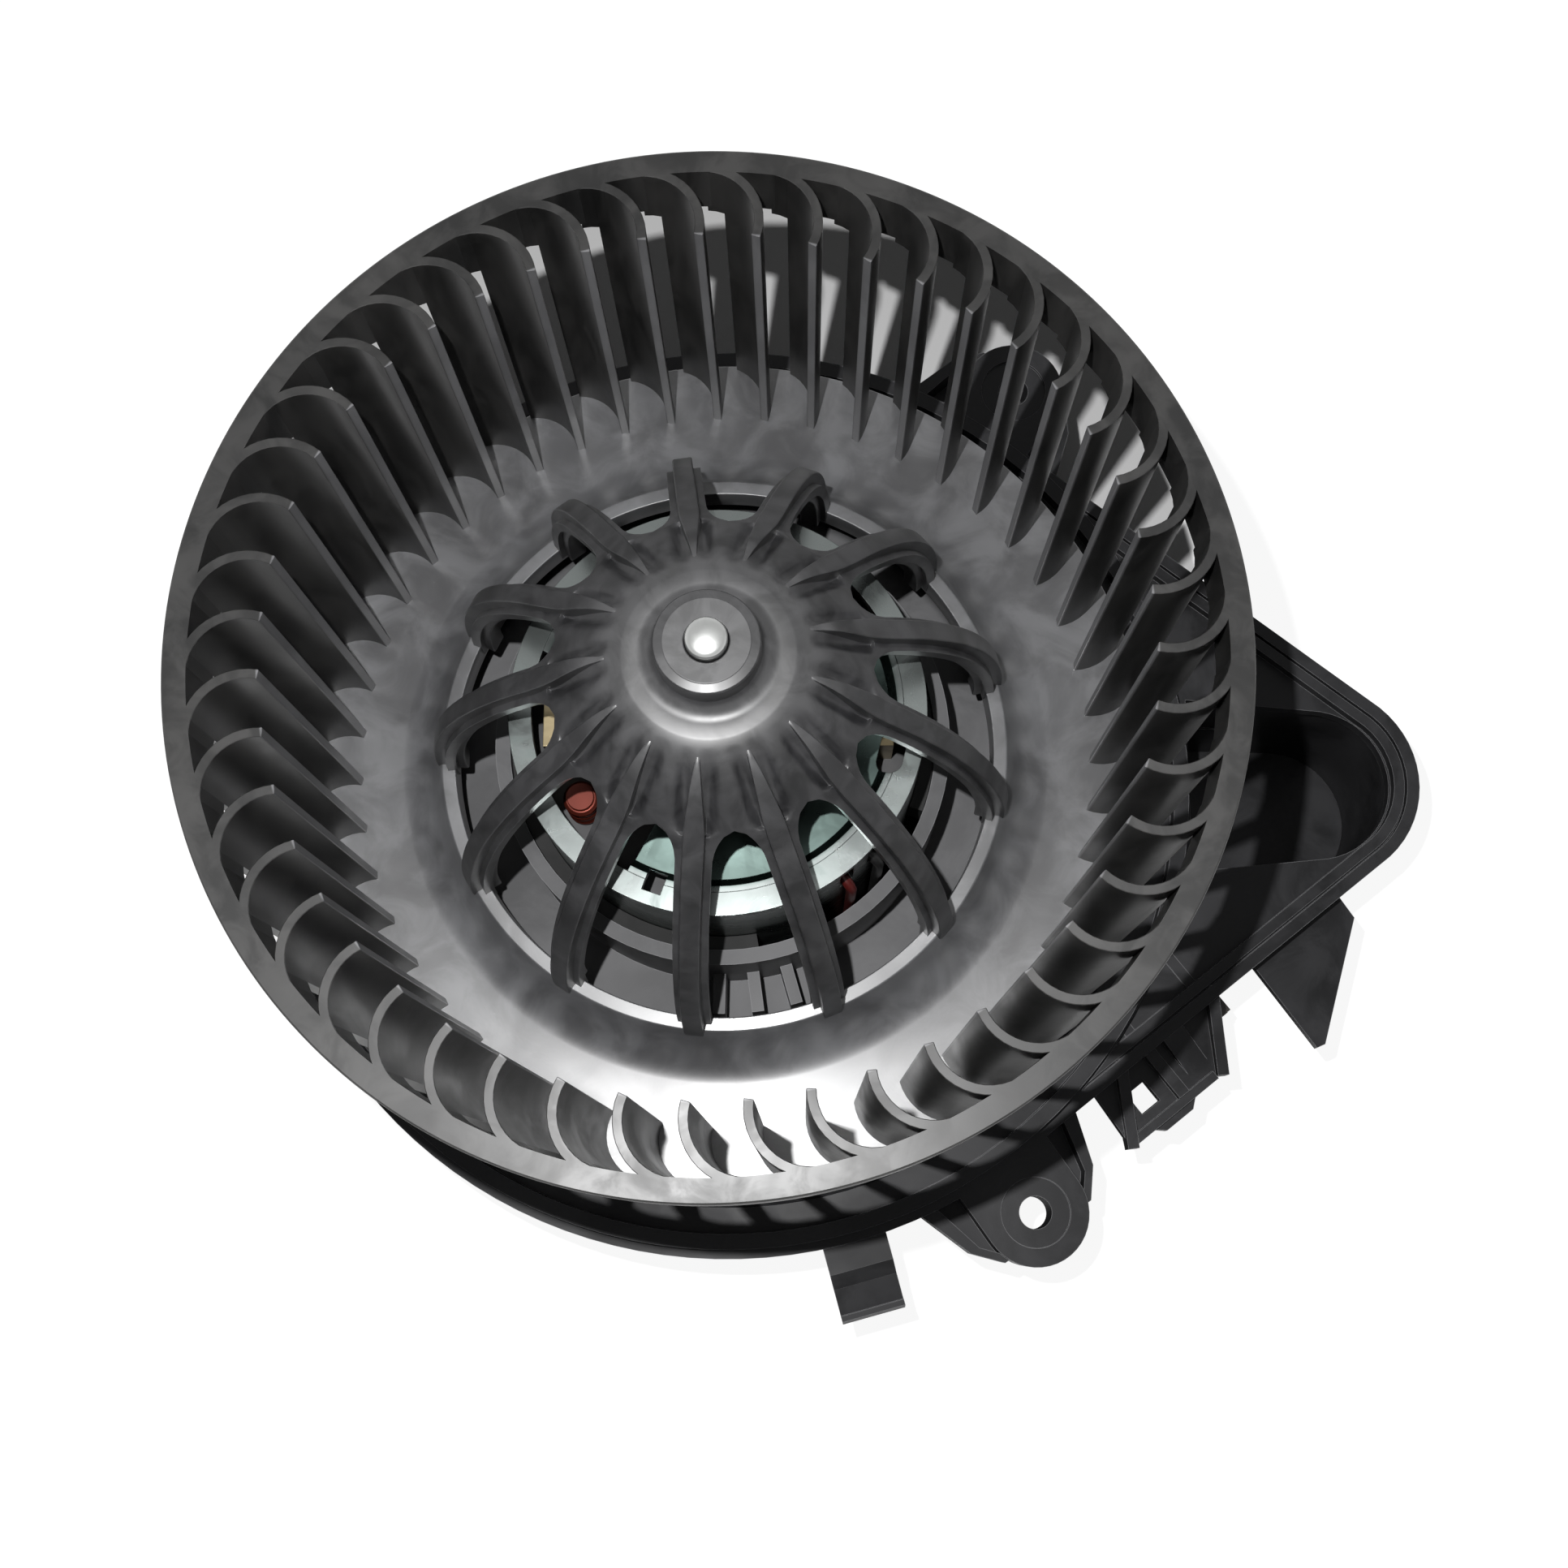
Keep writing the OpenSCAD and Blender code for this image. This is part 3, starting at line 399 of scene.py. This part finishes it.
# The crown round the shaft boss, as (r, z): the fillet at the boss, a flat band and the slope into the skin
CROWN = [(7.4, 84.6), (7.7, 83.9), (8.2, 83.25), (8.8, 82.8), (9.5, 82.54), (10.1, 82.45), (10.3, 82.46), (11.2, 82.41),
         (12.2, 82.32), (12.6, 82.22), (13.4, 81.95), (14.6, 81.4), (16, 80.5), (17.4, 79.2), (19, 77.4), (20.6, 75.4),
         (22, 73.7), (22.8, 72.7), (23.5, 71.8), (24.1, 71.1), (24.8, 70.25), (25.4, 69.55)]
# The first stretch of a rib's top edge, from where it rises out of the crown
RIB_START = [(14.6, 81.4), (15.6, 81.0), (16.8, 80.5), (18, 79.75), (19.2, 78.8), (20.4, 77.6), (21.8, 76.05),
             (23.2, 74.45), (24.6, 72.95), (26, 71.5)]


def dome_z(r):
    return DOME_FOOT + DOME_H * sqrt(max(0, 1 - (r / DOME_R) ** 2))


def rim_band(bm):
    """A flat-topped band; its inner corner stays crisp, so that the blades' tops run into it without a seam."""
    turned(bm, [(72, 76), (75.1, 76), (75.4, 76.3), (75.5, 76.7), (75.5, 85.6), (75.42, 85.85), (75.2, RIM_TOP),
                (72, RIM_TOP)], 240)


def hub_plate():
    bm = bmesh.new()
    turned(bm, [(72.2, PLATE), (66, PLATE), (60, PLATE), (55.2, PLATE + 0.1), (53.2, PLATE + 0.5), (51.6, PLATE + 1.3),
                (50.2, PLATE + 2.5), (49, PLATE + 4.1), (48.1, PLATE + 6), (47.3, PLATE + 7.5),
                (45.0, PLATE + 7.6), (44.8, PLATE + 3), (46, PLATE + 1), (49, PLATE - 1),
                (53, PLATE - 2), (72.2, PLATE - 2.2)], 240, 0.2)
    return bm


def blades(bm):
    """One blade bent from a strip that starts at the tip, run into the band, then repeated round the wheel."""
    tip, curve, lean, half = 62.1, 8.2, radians(14), 0.69
    centre = Vector((tip + curve * sin(lean), curve * cos(lean), 0)) * MM
    ends = []
    for reach in (curve + half, curve - half):
        out = Vector((-sin(lean), -cos(lean), 0)) * reach * MM
        ends.append(bm.verts.new(centre + out + Vector((0, 0, (PLATE - 1) * MM))))
    strip = ends + [bm.edges.new(ends)]
    # The last stretch runs on inside the band only, and fills the root's sharp corner there
    for angle, steps in ((88, 10), (0.6, 1), (19.4, 2)):
        strip = bmesh.ops.spin(bm, geom=strip, cent=centre, axis=(0, 0, 1), dvec=(0, 0, 0), angle=radians(angle),
                               steps=steps, use_merge=False, use_duplicate=False)["geom_last"]
    root = [v for v in bm.verts if (v.co - centre).to_2d().angle_signed(Vector((1, 0))) > radians(-15.8)]
    up = bmesh.ops.extrude_face_region(bm, geom=bm.faces[:])["geom"]
    tops = [v for v in up if isinstance(v, bmesh.types.BMVert)]
    bmesh.ops.translate(bm, verts=tops, vec=(0, 0, (RIM_TOP - 0.01 - PLATE + 1) * MM))
    bmesh.ops.translate(bm, verts=root, vec=(0, 0, (74.6 - PLATE + 1) * MM))
    crisp = [e for e in bm.edges if e.calc_face_angle(0) > radians(50)
             and (min(v.co.z for v in e.verts) > 85 * MM or max(v.co.x for v in e.verts) < 62.6 * MM)]
    bmesh.ops.bevel(bm, geom=crisp, offset=0.10 * MM, segments=1, affect="EDGES", profile=0.5, material=-1)
    copies(bm, BLADES, BLADE_PHASE)


def cage():
    """The blades and the band that ties their tops, in one piece."""
    bm = bmesh.new()
    blades(bm)
    rim_band(bm)
    return bm


def rib_line():
    """The top edge of a rib, as (r, z): out of the crown, over the dome, round the elbow and down the leg."""
    line = RIB_START[:]
    for i in range(27):
        r = 27.2 + 17.3 * sin(i / 26 * pi / 2)
        line.append((r, dome_z(r)))
    last_r, last_z = line[-1]
    for i in range(1, 8):
        a = i / 7
        line.append((last_r + (48.1 - last_r) * (1 - (1 - a) ** 2), last_z + (23.4 - last_z) * a))
    return line


def sunk(line, depth):
    """The same line moved into the dome, square to itself."""
    points = [Vector(p) for p in line]
    moved = []
    for i, point in enumerate(points):
        along = (points[min(i + 1, len(points) - 1)] - points[max(i - 1, 0)]).normalized()
        moved.append((point.x + along.y * depth, point.y - along.x * depth))
    return moved


def ribs():
    """One rib as a strip on edge, thickened and rounded, then repeated round the dome."""
    bm = bmesh.new()
    outer = rib_line()
    inner = sunk(outer, 5.0)
    n = len(outer)
    bmesh.ops.create_grid(bm, x_segments=n - 1, y_segments=1, size=1)
    for v in bm.verts:
        i = round((v.co.x + 1) / 2 * (n - 1))
        r, z = outer[i] if v.co.y > 0 else inner[i]
        v.co = (r * MM, 0, z * MM)
    side = bmesh.ops.extrude_face_region(bm, geom=bm.faces[:])["geom"]
    other = {v for v in side if isinstance(v, bmesh.types.BMVert)}
    for v in bm.verts:
        grown = min(1, 0.22 + 0.78 * max(0, v.co.x / MM - 15) / 9)
        v.co.y = (1 if v in other else -1) * RIB_HALF * grown * MM
    bmesh.ops.recalc_face_normals(bm, faces=bm.faces)
    crisp = [e for e in bm.edges if e.calc_face_angle(0) > radians(50)]
    bmesh.ops.bevel(bm, geom=crisp, offset=0.30 * MM, segments=2, affect="EDGES", profile=0.5, material=-1)
    copies(bm, RIBS, RIB_PHASE)
    return bm


WINDOW_START = 23.5


def skin_half(r, sector):
    """Half width of the skin beside a rib: closed up to the window's round end, then a narrow strip."""
    narrow, reach = 2.7, 3.9
    wide = r * sector
    if r >= WINDOW_START + reach:
        return narrow
    a = max(0, r - WINDOW_START) / reach
    return wide - (wide - narrow) * sqrt(max(0, 1 - (1 - a) ** 2))


def hollow(r, y):
    """How far the skin dips beside a rib, where the rib comes out of the crown."""
    along = min(1, max(0, (r - 14.8) / 2.0)) * min(1, max(0, (25.4 - r) / 3.4))
    return 1.9 * along * exp(-((abs(y) - 1.75) / 0.95) ** 2)


def dome_skin():
    bm = bmesh.new()
    across = 14
    skin = CROWN + sunk(rib_line(), 1.8)[len(RIB_START):]
    n = len(skin)
    bmesh.ops.create_grid(bm, x_segments=n - 1, y_segments=across, size=1)
    sector = pi / RIBS
    for v in bm.verts:
        i = round((v.co.x + 1) / 2 * (n - 1))
        r, z = skin[i]
        half = skin_half(r, sector)
        if r <= WINDOW_START:
            angle = v.co.y * sector
            v.co = (r * cos(angle) * MM, r * sin(angle) * MM, (z - hollow(r, r * angle)) * MM)
        else:
            y = v.co.y * half
            v.co = (sqrt(max(0, r * r - y * y)) * MM, y * MM, z * MM)
    copies(bm, RIBS, RIB_PHASE)
    bmesh.ops.remove_doubles(bm, verts=bm.verts, dist=0.02 * MM)
    bmesh.ops.recalc_face_normals(bm, faces=bm.faces)
    bmesh.ops.solidify(bm, geom=bm.faces[:], thickness=1.7 * MM)
    bmesh.ops.recalc_face_normals(bm, faces=bm.faces)
    return bm


def boss():
    bm = bmesh.new()
    turned(bm, [(3.02, 62), (7.2, 62), (7.2, 76), (7.55, 78.0), (7.55, 87.8),
                (7.35, 88.1), (6.2, 88.42), (6.1, 88.5), (3.3, 88.5), (3.18, 88.42), (3.1, 88.2), (3.02, 87.8)], 120)
    return bm


def fan_wheel():
    parts = (("cage", cage(), wheel_plastic, 30), ("plate", hub_plate(), plate_plastic_painted_reflection, 38),
             ("ribs", ribs(), dome_plastic, 38), ("skin", dome_skin(), dome_plastic, 50),
             ("boss", boss(), dome_plastic, 12))
    for part, bm, material, sharp in parts:
        piece = finish_piece(bm, "wheel_" + part, material, "rotor", sharp)
        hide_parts("fan_wheel")


fan_wheel()


# Carrier, cover, connector and the motor

def motor_shaft():
    """The ground shaft with its domed end."""
    low, high = (corner.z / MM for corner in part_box("motor_shaft"))
    bm = bmesh.new()
    turned(bm, [(0, low), (2.5, low), (3, low + 0.5), (3, high - 0.95), (2.93, high - 0.72), (2.75, high - 0.55),
                (2.3, high - 0.36), (1.6, high - 0.17), (0.8, high - 0.04), (0, high)], 72)
    piece = finish_piece(bm, "shaft_turned", ground_steel, frame["nodes"]["motor_shaft"]["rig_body"], 50)
    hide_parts("motor_shaft")


dress("motor_carrier", carrier_plastic)
dress("bottom_cover", carrier_plastic)
dress("connector_housing", connector_resin)
dress("motor_can", can_zinc)
dress("end_bell", bell_zinc)
motor_shaft()
dress("armature_core", sheet_steel)
dress("armature_windings", copper_wire)
dress("commutator", turned_copper)
dress("thrust_washers", nylon)
dress("upper_bearing", bronze)
dress("lower_bearing", bronze)
dress("magnet_left", ferrite)
dress("magnet_right", ferrite)
dress("magnet_clips", spring_steel)
dress("brush_plate", resin)
dress("brush_holder_left", holder_brass)
dress("brush_holder_right", holder_brass)
dress("brush_left", carbon)
dress("brush_right", carbon)
dress("brush_spring_left", spring_steel, 60)
dress("brush_spring_right", spring_steel, 60)
dress("choke_left", copper_wire)
dress("choke_right", copper_wire)
dress("upper_damper", rubber)
dress("lower_damper", rubber)
dress("terminal_plus", tinned)
dress("terminal_minus", tinned)
dress("lead_plus", red_lead, 60)
dress("lead_minus", black_lead, 60)
dress("cover_screws", spring_steel)


# Floor, world and lamps

def background_rays(s):
    """1 for the rays that see the background: the camera's own, reflected and refracted ones."""
    return sum((s.node("ShaderNodeLightPath", out="Is %s Ray" % kind)
                for kind in ("Camera", "Glossy", "Transmission")), 0).clamp()


def studio_world():
    """White where it is seen or mirrored, dim where it only lights."""
    world = bpy.data.worlds.new("world")
    bpy.context.scene.world = world
    world.use_nodes = True
    s = Shade.__new__(Shade)
    s.tree = world.node_tree
    put(s.tree, s.tree.nodes["Background"].inputs["Color"], rgb(1, 1, 1))
    height = s.node("ShaderNodeSeparateXYZ", inputs={"Vector": s.node("ShaderNodeTexCoord", out="Generated")}, out="Z")
    seen = 1 - s.ramp(height, 0.35, 0.80) * 0.40
    put(s.tree, s.tree.nodes["Background"].inputs["Strength"], 0.02 + background_rays(s) * (seen - 0.02))


def pale_floor():
    """A matt pale floor that the camera and glossy rays see as white, with painted shade: a darker disc under the
    wheel's outline, where the part shades it.
    """
    s = Shade("floor")
    tree = s.tree
    spot = s.node("ShaderNodeMapping", inputs={"Vector": s.node("ShaderNodeTexCoord", out="Object"),
                                               "Location": (6.3 * MM, -37.7 * MM, 0)})
    away = s.node("ShaderNodeVectorMath", {"operation": "LENGTH"}, {0: spot}, out="Value")
    # Painted shade: inside a disc round the wheel's outline the floor gets a darker colour (0.90); outside it is pale
    # and mostly white
    outside_painted_shade_disc = s.ramp(away, 0.1092, 0.1116)
    light = 0.90 + outside_painted_shade_disc * 2.6 + s.ramp(away, 0.115, 0.26) * 2.0
    shade = s.node("ShaderNodeCombineXYZ", inputs={"X": light, "Y": light, "Z": light})
    near = s.node("ShaderNodeBsdfDiffuse", inputs={"Color": shade})
    far = s.node("ShaderNodeEmission", inputs={"Strength": 1.0})
    seen = s.node("ShaderNodeMixShader", inputs={0: outside_painted_shade_disc * 0.92 + s.ramp(away, 0.22, 0.40) * 0.08, 1: near, 2: far})
    mirrored = s.node("ShaderNodeMixShader", inputs={
        0: s.ramp(away, 0.22, 0.40), 1: s.node("ShaderNodeBsdfDiffuse", inputs={"Color": rgb(1.5, 1.5, 1.5)}), 2: far})
    lit = s.node("ShaderNodeBsdfDiffuse", inputs={"Color": rgb(0.22, 0.22, 0.22)})
    from_camera = s.node("ShaderNodeLightPath", out="Is Camera Ray")
    background = s.node("ShaderNodeMixShader", inputs={0: from_camera, 1: mirrored, 2: seen})
    both = s.node("ShaderNodeMixShader", inputs={0: background_rays(s), 1: lit, 2: background})
    tree.links.new(both.socket, tree.nodes["Material Output"].inputs["Surface"])
    bm = bmesh.new()
    bmesh.ops.create_grid(bm, x_segments=1, y_segments=1, size=3)
    low = cad_box[0].z
    bmesh.ops.translate(bm, verts=bm.verts, vec=(0, 0, low - 0.0002))
    mesh = bpy.data.meshes.new("floor")
    bm.to_mesh(mesh)
    bm.free()
    mesh.materials.append(s.material)
    floor = bpy.data.objects.new("floor", mesh)
    bpy.context.scene.collection.objects.link(floor)


def lamp(name, place, aim, size, power, size_y=None, colour=(1, 1, 1)):
    data = bpy.data.lights.new(name, "AREA")
    data.shape = "RECTANGLE" if size_y else "DISK"
    data.size = size
    if size_y:
        data.size_y = size_y
    data.energy = power
    data.color = colour
    item = bpy.data.objects.new(name, data)
    item.location = place
    item.rotation_euler = (Vector(aim) - Vector(place)).to_track_quat("-Z", "Y").to_euler()
    bpy.context.scene.collection.objects.link(item)


pale_floor()
studio_world()
lamp("flash", (-0.014, -0.051, 0.365), (0, 0, 0.03), 0.005, 1.0)
lamp("overhead", (0.0, -0.02, 0.90), (0, 0, 0.03), 0.40, 0.15)

bpy.context.scene.view_settings.view_transform = "Standard"
